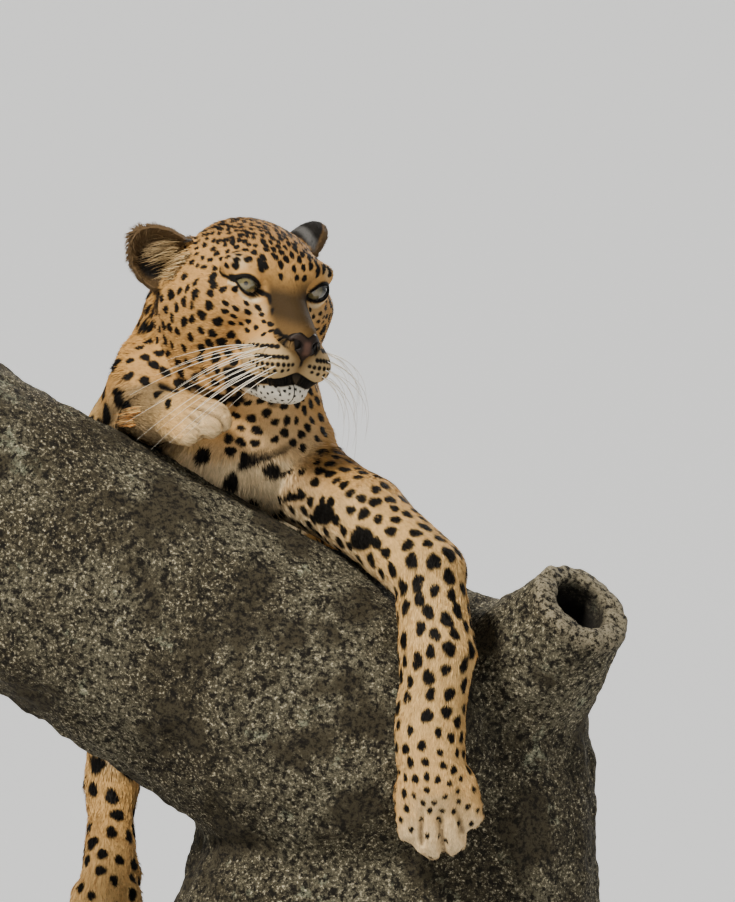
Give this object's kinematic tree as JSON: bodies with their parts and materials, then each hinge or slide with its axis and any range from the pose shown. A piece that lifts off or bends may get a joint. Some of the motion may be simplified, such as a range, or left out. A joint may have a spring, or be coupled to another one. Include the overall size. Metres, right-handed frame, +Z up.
{
  "type": "leopard",
  "caption": "Life-size leopard resting over the bough of a short cut forked trunk, one foreleg hanging and one paw folded on the wood, on a plain display stand.",
  "frame": {"origin": "middle of the underside of the stand's base", "axes": "+Z up, the animal's body lies along Y with its head towards -Y, and its left side is towards +X"},
  "size_m": [0.8634, 1.1639, 0.878],
  "materials": {
    "coat": "short fur, golden buff with black spots and a pale underside",
    "eye": "wet gloss",
    "bark": "rough bark",
    "stand": "satin"
  },
  "bodies": {
    "root": {"head": "coat", "ear_right": "coat", "ear_left": "coat", "neck": "coat", "torso_front": "coat", "torso_rear": "coat", "foreleg_left_upper": "coat", "foreleg_left_lower": "coat", "foreleg_left_paw": "coat", "hindleg_left_thigh": "coat", "hindleg_left_shank": "coat", "hindleg_left_paw": "coat", "foreleg_right_upper": "coat", "foreleg_right_lower": "coat", "foreleg_right_paw": "coat", "hindleg_right_thigh": "coat", "hindleg_right_shank": "coat", "hindleg_right_paw": "coat", "tail_root": "coat", "tail_middle": "coat", "tail_tip": "coat", "eye_right": "eye", "eye_left": "eye", "perch_trunk": "bark", "perch_bough": "bark", "perch_limb": "bark", "perch_stub": "bark", "stand_base": "stand", "stand_rod_right": "stand", "stand_rod_left": "stand"}
  },
  "joints": []
}
